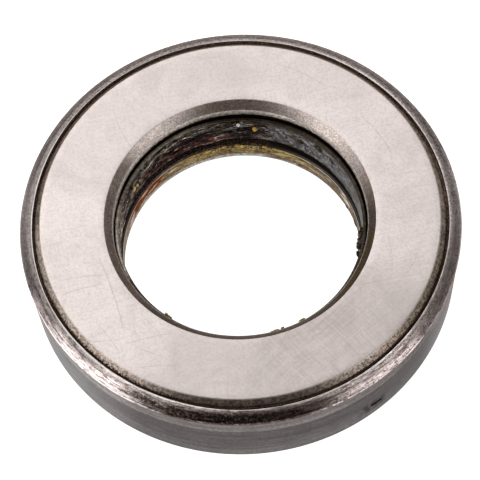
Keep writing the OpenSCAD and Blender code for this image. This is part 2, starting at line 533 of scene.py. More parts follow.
def shoulder_steel():
    """The shoulder inside the lip: brown film on the chamfer, black grime in flecks, dark in the gap."""
    g = Graph("shoulder_steel")
    streak = g.streaks(30.0, 5.0, 3.0, 0.6, across=g.add(g.radius, g.z))
    speck = g.grain(2.8, 4.0, 0.72)
    film = g.mix(g.fade(streak, 0.35, 0.65), (0.265, 0.218, 0.192), (0.18, 0.146, 0.126))
    # Painted highlights on the shoulder chamfer at the left, front-left and front-right
    shoulder_painted_highlight = g.windows((198, 12, 12), (222, 22, 12), (303, 10, 7))
    g.colour = g.mix(g.times(shoulder_painted_highlight, 0.75), film, (0.52, 0.43, 0.37))
    olive = g.window(327, 14, 10)
    g.paint((0.27, 0.212, 0.155), olive, 0.6)
    # Painted shade: the shoulder is a darker brown at the back and, less so, at the front
    g.paint((0.155, 0.12, 0.1), g.window(95, 62, 24), 0.85)
    g.paint((0.155, 0.12, 0.1), g.window(266, 16, 12), 0.5)
    g.tone(g.mottle(1.8, 0.62, 1.38))
    fleck_zone = g.add(0.15, g.times(g.window(222, 26, 10), 0.35), g.times(g.window(320, 26, 8), 0.7))
    flecks = g.times(g.fade(speck, 0.5, 0.62), fleck_zone)
    low = g.fade(g.add(g.radius, g.times(speck, 1.6), -0.8), SHOULDER_R - 0.24, SHOULDER_R + 0.05)
    spread = g.add(g.radius, g.times(speck, 2.4), -1.2)
    low = g.most(low, g.times(g.window(226, 22, 12), g.fade(spread, FACE_R + 0.6, FACE_R + 1.0)))
    grime = g.most(g.times(flecks, g.fade(g.radius, FACE_R - 0.1, FACE_R + 0.3)), low)
    g.paint((0.05, 0.03, 0.018), grime)
    gap = g.fade(g.z, FACE_Z - 1.12, FACE_Z - 1.3)
    gap_colour = g.mix(g.fade(speck, 0.42, 0.58), (0.3, 0.2, 0.15), (0.08, 0.05, 0.035))
    # Painted light: the gap is lighter at the right-back and at the left-back
    gap_colour = g.shade(gap_colour, g.scaled(g.windows((36, 26, 14), (150, 14, 12)), 2.2))
    g.paint(gap_colour, gap)
    # Painted highlight along the rounded outer edge of the face
    rim = g.band(g.radius, FACE_R + 0.02, 0.05, 0.1)
    g.paint((0.72, 0.65, 0.6), rim, 0.5)
    rough = g.vary(0.38, speck, 0.15)
    return g.finish(rough, g.bump(speck, 0.03), g.scaled(gap, 0.1), 0.0, (0.6, 0.5, 0.43))


def lip_steel():
    """The rolled lip: streaked and pitted, with painted highlights and painted shade, and dark specks
    pressed in.
    """
    g = Graph("lip_steel")
    out = g.minus(g.radius, LIP_EDGE_R)
    streak = g.streaks(7.0, 3.2, 5.0, 0.7, 0.3, across=out)
    blot = g.streaks(12.0, 1.8, 5.0, 0.72, 0.3, across=out)
    speck = g.streaks(20.0, 4.0, 5.0, 0.72, 0.2, across=out)
    grain = g.grain(2.0, 4.0, 0.7)
    inner = g.fade(out, 1.15, 0.65)
    base = g.mix(inner, (0.3, 0.262, 0.254), (0.38, 0.335, 0.318))
    # Painted shade and light: the inner part darker at the left, lighter at the front-left and front-right
    left = g.times(inner, g.window(150, 38, 28))
    painted_light_inner = g.times(inner, g.windows((240, 14, 10), (302, 16, 12)))
    # Painted shade: the outer part darker at the back
    back = g.times(g.minus(1.0, inner), g.window(88, 64, 20))
    # Painted light: lighter on the right, and inside at the front-right
    base = g.shade(base, g.scaled(g.window(6, 60, 18), 1.2))
    base = g.shade(base, g.scaled(left, 0.66), g.scaled(painted_light_inner, 1.8), g.scaled(back, 0.5))
    base = g.shade(base, g.scaled(g.times(inner, g.window(304, 10, 8)), 1.45))
    g.colour = g.mix(g.fade(streak, 0.44, 0.6, 0.0, 0.5), base, g.shade(base, 0.5))
    busy = g.windows((230, 34, 14), (306, 26, 14))
    # Painted highlights on the front-left and front-right of the lip
    lip_painted_highlight = g.most(g.times(g.window(222, 9, 8), g.fade(out, 0.4, 1.3, 0.25, 1.0)),
                     g.times(g.window(236, 7, 6), g.fade(out, 1.5, 1.9), 0.6),
                     g.times(g.window(229, 9, 6), g.fade(out, 0.75, 0.4)),
                     g.times(g.window(211, 9, 8), g.fade(out, 1.0, 1.7)),
                     g.times(g.window(301, 13, 8), g.fade(out, 1.0, 1.8)))
    g.paint((0.95, 0.825, 0.805), lip_painted_highlight, g.fade(streak, 0.62, 0.45, 0.52, 0.95))
    # Painted shade: the lip is near black at the front
    shade = g.times(g.window(262, 19, 14), g.fade(g.add(out, g.times(blot, 1.4), -0.7), 0.3, 1.2))
    shade = g.times(shade, g.scaled(g.times(g.window(236, 7, 6), g.fade(out, 1.5, 1.9)), 0.5))
    lip_front_painted_shade = g.mix(g.fade(streak, 0.42, 0.58), (0.07, 0.047, 0.038), (0.024, 0.015, 0.012))
    g.paint(lip_front_painted_shade, shade, 0.95)
    flecks = g.times(g.fade(speck, 0.5, 0.62), shade)
    g.paint((0.34, 0.26, 0.23), flecks, 0.6)
    # Painted glints: light specks on the dark front of the lip
    painted_glints = g.times(g.fade(grain, 0.54, 0.62), g.window(266, 26, 14),
                     g.fade(g.z, BULGE_Z, BULGE_Z + 0.5))
    g.paint((0.42, 0.35, 0.32), painted_glints, 0.55)
    long_cracks = g.times(g.fade(g.streaks(11.0, 3.4, 3.0, 0.6, 0.5, across=out), 0.44, 0.39), 0.8)
    long_cracks = g.times(long_cracks, g.scaled(g.window(306, 26, 14), 0.35))
    cracks = g.times(g.most(g.times(g.fade(speck, 0.47, 0.41), 0.8), long_cracks),
                     g.add(0.12, g.times(busy, 0.85)))
    g.paint((0.055, 0.034, 0.028), cracks)
    rust = g.times(g.fade(grain, 0.5, 0.56), g.fade(blot, 0.34, 0.5), g.window(312, 32, 14))
    g.paint((0.08, 0.044, 0.031), rust, 0.8)
    contrast = g.times(0.38, g.scaled(lip_painted_highlight, 0.45), g.scaled(g.window(180, 26, 12), 0.6))
    g.tone(g.add(1.0, g.times(g.fade(grain, 0.38, 0.62, -1.0, 1.0), contrast)))
    # Painted shade: a narrow darker stripe on the front-left of the lip, away from its outer edge
    lip_painted_dimming = g.times(g.window(219, 3, 5), g.fade(out, 1.8, 1.0))
    g.tone(g.scaled(lip_painted_dimming, 0.55))
    # Painted highlight along the lip's outer edge at the front-left
    outer_edge_painted_highlight = g.times(g.window(223, 13, 6), g.fade(out, 1.6, 2.0), g.fade(speck, 0.42, 0.52, 0.25, 0.8))
    g.paint((0.97, 0.89, 0.87), outer_edge_painted_highlight)
    # Painted highlight along the inner edge of the lip
    edge = g.fade(out, 0.14, 0.05)
    g.paint((0.8, 0.75, 0.73), edge, 0.7)
    gap = g.times(g.fade(out, 0.08, 0.04), g.fade(g.z, BULGE_Z + 1.42, BULGE_Z + 1.3))
    gap_colour = g.mix(g.fade(grain, 0.4, 0.6), (0.36, 0.26, 0.21), (0.09, 0.06, 0.045))
    g.paint(gap_colour, gap)
    rough = g.add(0.25, g.fade(streak, 0.35, 0.65, 0.0, 0.1), g.fade(blot, 0.4, 0.7, 0.0, 0.1))
    relief = g.add(g.times(streak, 0.4), g.times(grain, 0.3), g.times(speck, 0.5))
    return g.finish(rough, g.bump(relief, 0.022), g.scaled(gap, 0.1), 0.0, (0.7, 0.62, 0.58))


def wall_steel():
    """The shell's wall: matt drawn steel with fine level lines, painted shade under the ledge, and tiny
    pits.
    """
    g = Graph("wall_steel")
    draw = g.streaks(1.8, 1.9, 4.0, 0.72)
    cloud = g.streaks(8.0, 0.25, 3.0, 0.6)
    fine = g.streaks(70.0, 1.6, 4.0, 0.75)
    pits = g.fade(g.streaks(50.0, 1.0, 2.0, 0.5), 0.7, 0.76)
    # Painted shade: darker under the ledge, lighter towards the base
    low_light = g.fade(g.z, LEDGE_Z - 0.4, 0.5)
    base = g.mix(low_light, (0.155, 0.153, 0.153), (0.185, 0.182, 0.182))
    neck = g.fade(g.z, LEDGE_Z - 0.1, LEDGE_Z + 0.5)
    base = g.mix(neck, base, (0.181, 0.17, 0.168))
    # Painted highlight: a lighter band on the slope just above the ledge
    shine = g.band(g.z, LEDGE_Z + 0.45, 0.1, 0.5)
    base = g.mix(g.times(shine, 0.35), base, (0.22, 0.21, 0.2))
    # Painted light: the wall is lighter at the left and at the right
    base = g.shade(base, g.scaled(g.windows((204, 22, 16), (354, 20, 16)), 1.58))
    # Painted shade: the wall is darker at the front, more so higher up and less on the neck
    front = g.window(290, 56, 18)
    dim = g.mix(g.fade(g.z, 1.5, 9.0), (0.93, 0.87, 0.87), (0.74, 0.67, 0.67))
    dim = g.mix(neck, dim, (0.93, 0.9, 0.9))
    base = g.mix(front, base, dim, "MULTIPLY")
    g.colour = g.shade(base, g.fade(draw, 0.4, 0.6, 0.82, 1.18), g.fade(fine, 0.4, 0.6, 0.85, 1.15))
    g.paint(g.shade(g.colour, 0.6), g.fade(cloud, 0.46, 0.62, 0.0, 0.25))
    groove = g.band(g.add(g.z, g.times(draw, 0.4)), 4.3, 0.1, 0.35)
    g.paint(g.shade(g.colour, 0.6), groove, 0.4)
    g.paint((0.02, 0.02, 0.02), pits, 0.7)
    nick = g.times(g.band(g.z, NICK_Z, 0.34, 0.3), g.window(NICK_DEG, NICK_HALF_DEG, 0.7))
    scuff = g.times(g.window(NICK_DEG - 1.5, 2.5, 3), g.band(g.z, NICK_Z - 0.2, 1.3, 1.2),
                    g.fade(g.grain(0.9, 4.0, 0.7), 0.44, 0.52))
    g.paint((0.035, 0.03, 0.027), scuff, 0.85)
    # Painted shade: the nick's hollow is near black
    g.paint((0.008, 0.007, 0.006), nick)
    rough = g.add(0.34, g.fade(draw, 0.3, 0.7, 0.0, 0.1))
    relief = g.add(g.times(draw, 0.6), g.times(fine, 0.15), g.times(pits, -0.8))
    return g.finish(rough, g.bump(relief, 0.02), edge=(0.5, 0.49, 0.49))


def around_rim(degrees, z):
    """A point on the inside of the cage's rim."""
    turn = radians(degrees)
    return RIM_R * cos(turn), RIM_R * sin(turn), z


def rim_steel():
    """The cage: bluish grey pressed sheet under an oily, streaked film."""
    g = Graph("cage_steel")
    streak = g.streaks(16.0, 1.6, 5.0, 0.7, 0.4)
    fine = g.streaks(36.0, 1.8, 5.0, 0.72)
    patch = g.streaks(9.0, 0.5, 4.0, 0.65)
    g.colour = g.mix(g.fade(streak, 0.42, 0.58), (0.08, 0.076, 0.076), (0.195, 0.19, 0.19))
    g.paint((0.02, 0.017, 0.015), g.fade(fine, 0.52, 0.42, 0.0, 0.9))
    g.paint((0.34, 0.34, 0.345), g.fade(fine, 0.57, 0.63, 0.0, 0.7))
    g.paint((0.045, 0.034, 0.022), g.fade(patch, 0.5, 0.6, 0.0, 0.85))
    for degrees, z, size in ((56.2, 11.9, 0.35), (45.7, 13.3, 0.55), (37.1, 12.6, 0.4)):
        g.paint((0.012, 0.008, 0.005), g.spot(*around_rim(degrees, z), size * 1.5, 0.3))
        g.paint((0.12, 0.09, 0.06), g.spot(*around_rim(degrees + 0.5, z), 0.05, size * 0.6))
    ridge = g.band(g.z, RIM_TOP_Z - 0.62, 0.03, 0.1)
    g.paint((0.02, 0.018, 0.014), ridge, 0.8)
    ragged = g.add(g.z, g.times(fine, 2.4), -1.2)
    g.paint((0.03, 0.022, 0.013), g.fade(ragged, RIM_TOP_Z - 1.5, RIM_TOP_Z - 0.8, 0.0, 0.85))
    g.paint((0.018, 0.011, 0.007), g.fade(ragged, RIM_FOOT_Z + 1.0, RIM_FOOT_Z + 0.5, 0.0, 0.92))
    # Painted light: the rim is lighter at the right-back
    g.tone(g.scaled(g.window(32, 14, 12), 1.3))
    # Painted highlights along the rounded top of the rim at the left-back and left
    top = g.times(g.fade(g.z, RIM_TOP_Z - 0.5, RIM_TOP_Z - 0.2), g.fade(fine, 0.56, 0.46, 0.4, 1.0))
    g.paint((0.21, 0.185, 0.15), top, g.window(150, 40, 14))
    g.paint((0.42, 0.38, 0.33), top, g.window(184, 12, 10))
    rough = g.vary(0.28, streak, 0.12)
    relief = g.add(streak, g.times(fine, 0.8))
    return g.finish(rough, g.bump(relief, 0.05), edge=(0.5, 0.5, 0.5))


def lower_steel():
    """The lower race: near black on top with brown clots, a tan film in its bore, clean turned steel
    outside.
    """
    g = Graph("turned_steel")
    streak = g.streaks(7.0, 3.0, 4.0, 0.65)
    stain = g.streaks(10.0, 0.5, 4.0, 0.65)
    steel = g.mix(g.fade(streak, 0.36, 0.64), (0.52, 0.5, 0.49), (0.38, 0.36, 0.35))
    buff = g.mix(g.fade(streak, 0.38, 0.62), (0.52, 0.45, 0.38), (0.36, 0.3, 0.24))
    yellow = g.mix(g.fade(streak, 0.4, 0.6), (0.36, 0.27, 0.1), (0.22, 0.16, 0.05))
    film = g.mix(g.times(g.most(g.fade(stain, 0.5, 0.6), g.window(88, 26, 14)), g.fade(g.z, 3.1, 3.9)),
                 buff, yellow)
    rust = g.times(g.window(146, 12, 7), g.fade(g.z, 3.0, 3.6))
    film = g.mix(g.times(rust, g.fade(streak, 0.6, 0.42)), film, (0.33, 0.11, 0.025))
    film = g.mix(g.fade(g.z, 3.3, 2.9, 0.0, 0.75), film, (0.4, 0.385, 0.36))
    inside = g.fade(g.radius, LOWER_BORE_R + 0.02, LOWER_BORE_R + 0.1)
    black = g.times(g.fade(g.z, LOWER_TOP_Z - LOWER_TOP_CHAMFER - 0.05,
                           LOWER_TOP_Z - LOWER_TOP_CHAMFER + 0.08), g.fade(g.radius, 36.0, 35.0))
    under = g.fade(g.z, LOWER_BASE_CHAMFER, LOWER_BASE_CHAMFER - 0.2)
    g.colour = g.mix(g.times(inside, g.minus(1.0, black)), film, steel)
    g.paint(steel, under, 0.9)
    # The top is near black, with brown clots at the back-left
    clot = g.times(g.fade(g.grain(2.8, 4.0, 0.7), 0.5, 0.62), g.window(112, 34, 12))
    gap_colour = g.mix(clot, (0.026, 0.016, 0.012), (0.22, 0.125, 0.09))
    g.paint(gap_colour, black)
    metal = g.minus(1.0, g.times(black, 0.9))
    rough = g.vary(0.36, streak, 0.14)
    return g.finish(rough, g.bump(streak, 0.03), metal, 0.2)


def lower_film():
    """The tan grease film on the lower race's bore, yellow, rusty and clean by turns."""
    g = Graph("bore_film")
    streak = g.streaks(12.0, 2.0, 5.0, 0.68, 0.3)
    stain = g.streaks(12.0, 0.5, 4.0, 0.65)
    fine = g.grain(1.7, 4.0, 0.7)
    patch = g.streaks(17.0, 0.6, 4.0, 0.7)
    g.colour = g.mix(g.fade(streak, 0.4, 0.6), (0.225, 0.175, 0.135), (0.105, 0.08, 0.058))
    upper = g.fade(g.add(g.z, g.times(stain, 2.4), -1.2), 3.2, 3.7)
    yellow = g.mix(g.fade(streak, 0.42, 0.58), (0.29, 0.205, 0.085), (0.085, 0.06, 0.028))
    g.paint(yellow, upper, g.most(g.window(98, 42, 14), g.fade(stain, 0.52, 0.6)))
    g.tone(g.scaled(g.window(3, 12, 14), 0.6))
    clean = g.times(g.fade(g.z, 3.3, 2.95), g.window(125, 44, 12))
    g.paint((0.36, 0.345, 0.32), clean)
    rust = g.times(g.window(141, 9, 6), g.fade(g.z, 3.3, 4.0))
    g.paint((0.2, 0.075, 0.022), rust, g.fade(streak, 0.6, 0.5))
    # Darker towards the top of the bore, except at the back
    dark_top_band = g.times(g.fade(g.add(g.z, g.times(fine, 2.4), -1.2), 5.2, 5.7),
                    g.scaled(g.window(88, 16, 8), 0.0))
    g.paint((0.018, 0.011, 0.006), dark_top_band, 0.85)
    # Painted highlight: a golden line along the edge of the top chamfer, at the right-back
    line = g.times(g.band(g.z, LOWER_TOP_Z - LOWER_TOP_CHAMFER - 0.12, 0.02, 0.16), g.window(48, 34, 12))
    g.paint((0.5, 0.4, 0.14), line, 0.85)
    crust = g.times(g.fade(g.add(g.z, g.times(patch, 1.6), -0.8), 5.2, 5.5), g.window(90, 24, 12))
    g.paint(g.mix(g.fade(fine, 0.46, 0.54), (0.06, 0.035, 0.01), (0.62, 0.45, 0.14)), crust, 0.8)
    clots = g.times(g.fade(fine, 0.5, 0.56), g.fade(patch, 0.46, 0.54), g.fade(g.z, 3.4, 4.4),
                    g.window(115, 42, 10))
    g.paint((0.03, 0.014, 0.008), clots, 0.9)
    g.paint((0.07, 0.045, 0.022), g.fade(fine, 0.54, 0.64, 0.0, 0.7))
    g.tone(g.mottle(1.3, 0.72, 1.3))
    rough = g.vary(0.32, fine, 0.14)
    metal = g.fade(rust, 0, 1, 0.7, 0.9)
    edge = g.mix(rust, (0.5, 0.4, 0.3), (0.46, 0.28, 0.15))
    return g.finish(rough, g.bump(g.add(streak, fine), 0.06), metal, 0.0, edge)


def ball_steel():
    """Polished steel under a thin smear of grease."""
    g = Graph("ball_steel")
    smear = g.grain(0.45, 4.0, 0.65, 0.6)
    g.colour = g.mix(g.fade(smear, 0.5, 0.62, 0.0, 0.7), (0.78, 0.78, 0.78), (0.3, 0.24, 0.13))
    rough = g.fade(smear, 0.45, 0.65, 0.07, 0.28)
    return g.finish(rough, g.bump(smear, 0.02))


def cage_grease():
    """Old grease on the cage: brown-black, maroon low at the back, paler streaks higher up as painted
    reflections.
    """
    g = Graph("cage_grease")
    height = g.add(g.z, g.times(g.grain(0.22, 1.0), 1.6))
    streak = g.streaks(5.0, 1.5, 6.0, 0.74, 0.6, across=height)
    patch = g.streaks(4.0, 0.45, 5.0, 0.68, 0.6, across=height)
    fine = g.grain(1.8, 4.0, 0.7)
    g.colour = g.mix(g.fade(patch, 0.46, 0.56), (0.012, 0.006, 0.004), (0.05, 0.04, 0.035))
    low = g.fade(g.add(g.z, g.times(patch, 4.0), -2.0), 12.2, 11.4)
    maroon = g.times(low, g.window(116, 18, 10), g.fade(fine, 0.56, 0.48))
    g.paint((0.048, 0.012, 0.008), maroon, 0.9)
    # Painted reflections: paler streaks high at the left-back, at the left, and low at the back
    high = g.fade(g.add(g.z, g.times(patch, 3.0), -1.5), 12.6, 13.4)
    painted_reflection_zone = g.most(g.times(high, g.window(136, 30, 10)), g.window(174, 14, 12),
                       g.times(g.window(90, 9, 6), g.fade(g.z, 9.8, 9.0), 0.7))
    painted_highlight_share = g.times(g.fade(streak, 0.51, 0.55), painted_reflection_zone)
    g.paint((0.33, 0.29, 0.255), painted_highlight_share)
    # Painted glints on the tops of the streaks
    g.paint((0.26, 0.24, 0.23), g.fade(streak, 0.57, 0.6), 0.7)
    g.paint((0.008, 0.005, 0.003), g.fade(streak, 0.46, 0.41))
    lines = g.streaks(3.0, 3.2, 4.0, 0.7, 0.3, across=height)
    striped = g.times(g.fade(g.z, 12.8, 13.6), g.fade(lines, 0.52, 0.58), g.window(135, 50, 14))
    g.paint((0.21, 0.19, 0.15), striped, 0.8)
    olive = g.times(g.fade(g.z, RIM_TOP_Z - 1.2, RIM_TOP_Z - 0.6), g.fade(fine, 0.42, 0.58))
    g.paint((0.06, 0.042, 0.016), olive, 0.6)
    middle = g.band(g.z, 12.3, 0.8, 0.6)
    g.tone(g.scaled(g.times(middle, g.window(98, 14, 10)), 0.45))
    # Painted light: the grease is lighter at mid height on the left-back
    g.tone(g.scaled(g.times(middle, g.window(152, 12, 10)), 1.5))
    swirl = g.streaks(8.0, 0.8, 4.0, 0.6, 1.2, across=height)
    g.tone(g.fade(swirl, 0.44, 0.57, 0.25, 2.0), g.mottle(1.5, 0.5, 1.5))
    rough = g.vary(0.24, patch, 0.18)
    relief = g.add(g.times(streak, 1.2), patch, g.times(fine, 0.5))
    return g.finish(rough, g.bump(relief, 0.16), 0.85, 0.0, (0.45, 0.38, 0.34))


def grease(name, thin, thick, glint, shine=0.25):
    """A crumb of old grease: thin and thick are its colours, and glint is that of painted glints in its
    streaks.
    """
    g = Graph(name)
    streak = g.grain(2.0, 4.0, 0.66, 0.4)
    patch = g.grain(1.0, 3.0, 0.65, 0.5)
    g.colour = g.mix(g.fade(patch, 0.4, 0.6), thin, thick)
    # Painted glints in streaks
    g.paint(glint, g.fade(streak, 0.54, 0.66, 0.0, 0.8))
    rough = g.vary(0.22, patch, 0.18)
    g.shader.inputs["Specular IOR Level"].default_value = shine
    return g.finish(rough, g.bump(g.add(streak, patch), 0.03), 0.0, 0.0)


def floor_material():
    """A white floor that gives off most of its own light."""
    g = Graph("studio_floor")
    g.shader.inputs["Emission Color"].default_value = (1, 1, 1, 1)
    g.shader.inputs["Emission Strength"].default_value = 0.93
    g.colour = (0.8, 0.8, 0.8)
    return g.finish(0.9, metallic=0.0)


# ---------------- rings

def groove(z, first, last, steps=16):
    """The ball groove in an outline, between two angles about its centre."""
    return arc((PITCH_R, z), GROOVE_R, first, last, steps)


def groove_reach(centre_z, plane_z):
    """The angle from the groove's depth at which it meets the flat of the race."""
    return to_degrees(asin(abs(plane_z - centre_z) / GROOVE_R))


def make_upper_race(materials):
    """The rotating washer, with a material for its face, chamfer, shoulder and bore."""
    centre_z = MID_Z - (GROOVE_R - BALL_R - BALL_CLEARANCE)
    reach = groove_reach(centre_z, UPPER_BASE_Z)
    outside = rounded([
        (FLANGE_R - SMALL_CHAMFER, UPPER_BASE_Z, EDGE_ROUND),
        (FLANGE_R, UPPER_BASE_Z + SMALL_CHAMFER, EDGE_ROUND),
        (FLANGE_R, FLANGE_Z, EDGE_ROUND),
        (SHOULDER_R, FLANGE_Z, EDGE_ROUND),
        (SHOULDER_R, FACE_Z - (SHOULDER_R - FACE_R), 0.12),
        (FACE_R, FACE_Z, 0.12),
        (UPPER_BORE_R + UPPER_BORE_CHAMFER, FACE_Z, 0.12),
        (UPPER_BORE_R, FACE_Z - UPPER_BORE_CHAMFER, 0.12),
        (UPPER_BORE_R, UPPER_BASE_Z + SMALL_CHAMFER, EDGE_ROUND),
        (UPPER_BORE_R + SMALL_CHAMFER, UPPER_BASE_Z, EDGE_ROUND),
    ])
    outline = spaced(outside, RACE_STEP, closed=False) + groove(centre_z, 180 - reach, reach)
    points, faces = lathe_points(outline)

    def choose(x, y, z):
        r = hypot(x, y)
        if z > FACE_Z - 0.02:
            return 0
        if z > FACE_Z - UPPER_BORE_CHAMFER - 0.1 and r < 30:
            return 1
        if z > FLANGE_Z - 0.1 and r > 30:
            return 2
        return 3

    piece = mesh_object("upper_race_ring", points, faces, "rotor", "ground_steel", materials, choose)
    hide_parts("upper_race")


def make_lower_race(materials):
    """The stationary washer."""
    centre_z = MID_Z + (GROOVE_R - BALL_R - BALL_CLEARANCE)
    reach = groove_reach(centre_z, LOWER_TOP_Z)
    outside = rounded([
        (LOWER_BORE_R + LOWER_TOP_CHAMFER, LOWER_TOP_Z, EDGE_ROUND),
        (LOWER_BORE_R, LOWER_TOP_Z - LOWER_TOP_CHAMFER, EDGE_ROUND),
        (LOWER_BORE_R, LOWER_BASE_CHAMFER, 0.15),
        (LOWER_BORE_R + LOWER_BASE_CHAMFER, 0, EDGE_ROUND),
        (LOWER_R - SEAT_CHAMFER, 0, EDGE_ROUND),
        (LOWER_R, SEAT_CHAMFER, EDGE_ROUND),
        (LOWER_R, LOWER_TOP_Z - SMALL_CHAMFER, EDGE_ROUND),
        (LOWER_R - SMALL_CHAMFER, LOWER_TOP_Z, EDGE_ROUND),
    ])
    outline = spaced(outside, RACE_STEP, closed=False) + groove(centre_z, -reach, reach - 180)
    points, faces = lathe_points(outline)
    piece = mesh_object("lower_race_ring", points, faces, "root", "turned_steel", materials)
    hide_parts("lower_race")


def shell_outline():
    """The shell's section: foot, wall, ledge, neck, rolled lip and inside."""
    def along(centre, radius, degrees):
        return centre[0] + radius * cos(radians(degrees)), centre[1] + radius * sin(radians(degrees))

    # The arcs of the bulge and the crown meet at split, and those of the crown and the lip at top
    split = 48
    top = 57
    bulge = (BULGE_R - BULGE_ROUND, BULGE_Z)
    crown = along(bulge, BULGE_ROUND - CROWN_R, split)
    shoulder = along(crown, CROWN_R, top)
    lip_r = (shoulder[0] - LIP_EDGE_R - 0.1) / cos(radians(top))
    lip = (LIP_EDGE_R + 0.1, shoulder[1] - lip_r * sin(radians(top)))
    edge_z = lip[1] + lip_r
    under_z = FLANGE_Z + 0.2
    wall = rounded([(WALL_R, CORNER_R, 0), (LEDGE_R, LEDGE_Z, 0.35), (NECK_R + 0.1, LEDGE_Z + 1.3, 0.5),
                    (NECK_R, BULGE_Z - 1.2, 0.45), (BULGE_R - 0.3, BULGE_Z - 0.52, 0)])[1:-1]
    edge = rounded([(LIP_EDGE_R + 0.12, edge_z, 0), (LIP_EDGE_R, edge_z, 0.08), (LIP_EDGE_R, under_z, 0.08),
                    (SHELL_INNER_R, under_z, 0.3), (SHELL_INNER_R, COUNTERBORE_Z, 0)])[1:-1]

    def on_wall(z):
        return WALL_R + (LEDGE_R - WALL_R) * (z - CORNER_R) / (LEDGE_Z - CORNER_R), z

    nick = spaced([on_wall(NICK_Z - NICK_HALF_Z), on_wall(NICK_Z + NICK_HALF_Z)], NICK_STEP, closed=False)
    foot = [(LOWER_R - SEAT_CHAMFER + 0.5, 0.5), (LOWER_R - 0.5, 0)]
    corner = arc((WALL_R - CORNER_R, CORNER_R), CORNER_R, -90, 0, 10)
    lower = spaced(foot + corner + nick + wall, WALL_STEP, closed=False)
    crest = arc(bulge, BULGE_ROUND, -60, split, 10) + arc(crown, CROWN_R, split + 1, top, 8)
    upper = spaced(crest + arc(lip, lip_r, top + 3, 90, 12) + edge, LIP_STEP, closed=False)
    inside = [(SHELL_INNER_R, COUNTERBORE_Z), (LOWER_R, LOWER_TOP_Z + 0.5), (LOWER_R, SEAT_CHAMFER)]
    return lower + upper + inside


def wear_shell(point):
    """The rolled lip's small hollows, its ragged inner edge and burrs, and a chisel nick in the wall."""
    x, y, z = point
    r = hypot(x, y)
    degrees = to_degrees(atan2(y, x)) % 360
    spot = Vector(point)
    if z > FLANGE_Z + 0.1 and r < LIP_EDGE_R + 1.5:
        lean = sum(reach * exp(-((degrees - at) / width) ** 2) for at, width, reach in LIP_LEANS)
        lean *= smooth(r, LIP_EDGE_R + 1.5, LIP_EDGE_R + 0.1)
        x *= 1 - lean / r
        y *= 1 - lean / r
        spot = Vector((x, y, z))
    if z > BULGE_Z - 0.35 and r > LIP_EDGE_R - 0.02:
        turned = radians(degrees) * BULGE_R
        rough = noise.fractal(Vector((turned * 0.7, r * 1.6, z * 1.6)), 0.7, 2.1, 5)
        dent = (0.018 if r < BULGE_R - 0.5 else 0.010) * rough - 0.014
        if r < LIP_EDGE_R + 0.25:
            dent -= 0.05 * abs(noise.noise(Vector((x * 2.3, y * 2.3, 7))))
        for burr_deg, out, height in BURRS:
            near = ((degrees - burr_deg) * 0.7) ** 2 + ((r - out) / 0.14) ** 2
            dent += height * exp(-near * 2)
        share = smooth(z, BULGE_Z - 0.35, BULGE_Z + 0.15)
        lean = radians(62 if r < LIP_EDGE_R + 1.6 else 30)
        grow = min(dent, 0.0 if r > BULGE_R - 0.06 else dent) * share
        scale = 1 + grow * cos(lean) / r
        spot = Vector((x * scale, y * scale, z + grow * sin(lean)))
    along = (degrees - NICK_DEG) / NICK_HALF_DEG
    across = (z - NICK_Z) / 0.26
    if r > WALL_R - 0.1 and abs(along) < 1.4 and abs(across) < 3:
        depth = 0.28 * exp(-across ** 2) * smooth(abs(along), 1.25, 0.75)
        spot = Vector((x * (1 - depth / r), y * (1 - depth / r), z))
    return spot


def make_shell(materials):
    """The shell, with a material for its lip and one for its wall."""
    points, faces = lathe_points(shell_outline(), SHELL_SEGMENTS)
    points = [wear_shell(p) for p in points.tolist()]

    def choose(x, y, z):
        return 0 if z > BULGE_Z - 0.15 and hypot(x, y) > LIP_EDGE_R - 0.2 else 1

    piece = mesh_object("shell_band", points, faces, "root", "shell_steel", materials, choose, 50)
    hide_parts("outer_shell")


def make_cage(material):
    """The pressed sheet turned about the axis, then the ball pockets cut through its web."""
    web_z = MID_Z - SHEET / 2
    foot_r = RIM_R + 1.8
    dish_r = foot_r + 1.4
    skirt_z = cage_low.z / MM
    outline = rounded([
        (RIM_R, RIM_FOOT_Z, 0.5), (foot_r, RIM_FOOT_Z, 0.3), (dish_r, web_z, 0.3),
        (CAGE_R - SHEET, web_z, 0.1), (CAGE_R - SHEET, skirt_z, 0.15), (CAGE_R, skirt_z, 0.15),
        (CAGE_R, web_z + SHEET, 0.5), (dish_r - 0.25, web_z + SHEET, 0.3),
        (foot_r - 0.25, RIM_FOOT_Z + SHEET, 0.3), (RIM_R + SHEET, RIM_FOOT_Z + SHEET, 0.15),
        (RIM_R + SHEET, RIM_TOP_Z, 0.25), (RIM_R, RIM_TOP_Z, 0.25),
    ])
    points, faces = lathe_points(outline, CAGE_SEGMENTS)
    piece = mesh_object("cage_sheet", points, faces, "cage", "cage_steel", [material])
    holes = bmesh.new()
    for i in range(BALL_COUNT):
        turn = TAU * i / BALL_COUNT
        middle = Vector((PITCH_R * cos(turn), PITCH_R * sin(turn), MID_Z)) * MM
        bmesh.ops.create_cone(holes, cap_ends=True, segments=64, radius1=POCKET_R * MM,
                              radius2=POCKET_R * MM, depth=3 * SHEET * MM, matrix=Matrix.Translation(middle))
    cutter_mesh = bpy.data.meshes.new("pocket_cutter")
    holes.to_mesh(cutter_mesh)
    holes.free()
    cutter = add_object("pocket_cutter", cutter_mesh)
    cut = piece.modifiers.new("pockets", "BOOLEAN")
    cut.operation = "DIFFERENCE"
    cut.object = cutter
    bpy.context.view_layer.update()
    pierced = bpy.data.meshes.new_from_object(piece.evaluated_get(bpy.context.evaluated_depsgraph_get()))
    piece.modifiers.clear()
    piece.data = pierced
    pierced.set_sharp_from_angle(angle=radians(35))
    bpy.data.objects.remove(cutter)
    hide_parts("cage")


# ---------------- grease

